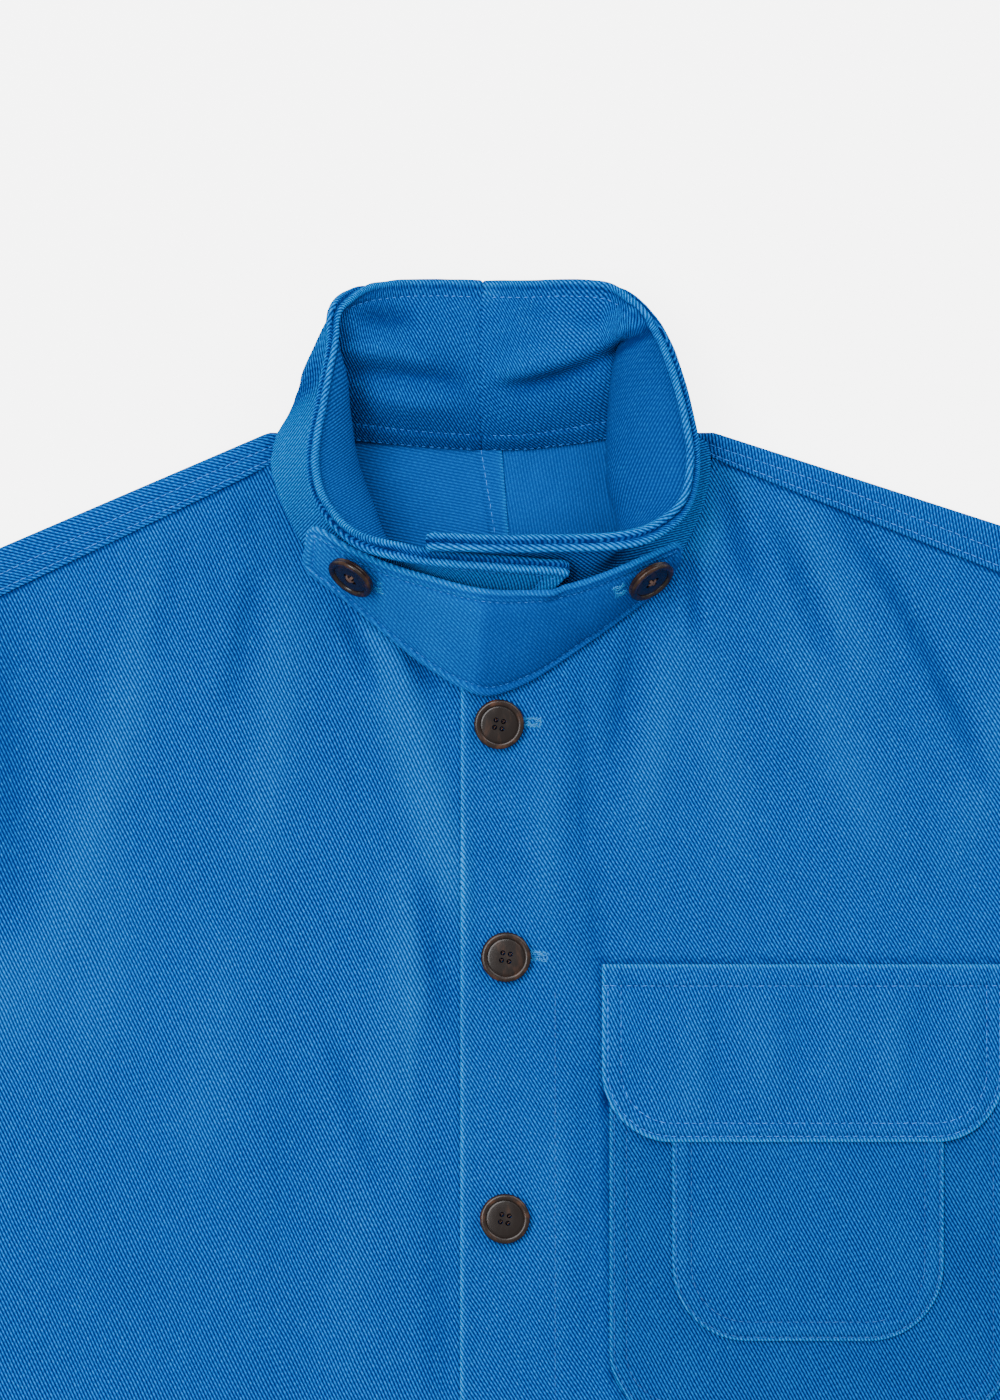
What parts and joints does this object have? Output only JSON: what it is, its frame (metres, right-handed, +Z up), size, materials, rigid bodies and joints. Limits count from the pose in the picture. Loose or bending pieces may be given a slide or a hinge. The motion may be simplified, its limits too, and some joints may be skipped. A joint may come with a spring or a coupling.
{
  "type": "chore coat",
  "caption": "Cotton twill chore coat laid flat on its back: buttoned front, standing collar with throat tab, chest pocket with patch pocket and flap, long sleeves.",
  "frame": {"origin": "middle of the bounding box's underside, on the surface the coat lies on", "axes": "+Z up from the surface it lies on, towards the coat's front; +Y from hem to collar; +X towards the wearer's left sleeve"},
  "size_m": [1.5002, 0.7662, 0.0519],
  "materials": {
    "back_left": "matt, faded",
    "back_right": "matt, faded",
    "front_left": "matt, faded",
    "front_right": "matt, faded",
    "collar_left": "matt, faded",
    "collar_right": "matt, faded",
    "throat_tab": "matt, faded",
    "chest_pocket": "matt, faded",
    "pocket_patch": "matt, faded",
    "pocket_flap": "matt, faded",
    "sleeve_left": "matt, faded",
    "sleeve_right": "matt, faded",
    "front_button_1": "polished, worn",
    "front_button_2": "polished, worn",
    "front_button_3": "polished, worn",
    "front_button_4": "polished, worn",
    "front_button_5": "polished, worn",
    "tab_button_left": "polished, worn",
    "tab_button_right": "polished, worn"
  },
  "bodies": {
    "root": {"back_left": "back_left", "back_right": "back_right", "front_left": "front_left", "front_right": "front_right", "collar_left": "collar_left", "collar_right": "collar_right", "throat_tab": "throat_tab", "chest_pocket": "chest_pocket", "pocket_patch": "pocket_patch", "pocket_flap": "pocket_flap", "sleeve_left": "sleeve_left", "sleeve_right": "sleeve_right", "front_button_1": "front_button_1", "front_button_2": "front_button_2", "front_button_3": "front_button_3", "front_button_4": "front_button_4", "front_button_5": "front_button_5", "tab_button_left": "tab_button_left", "tab_button_right": "tab_button_right"}
  },
  "joints": []
}
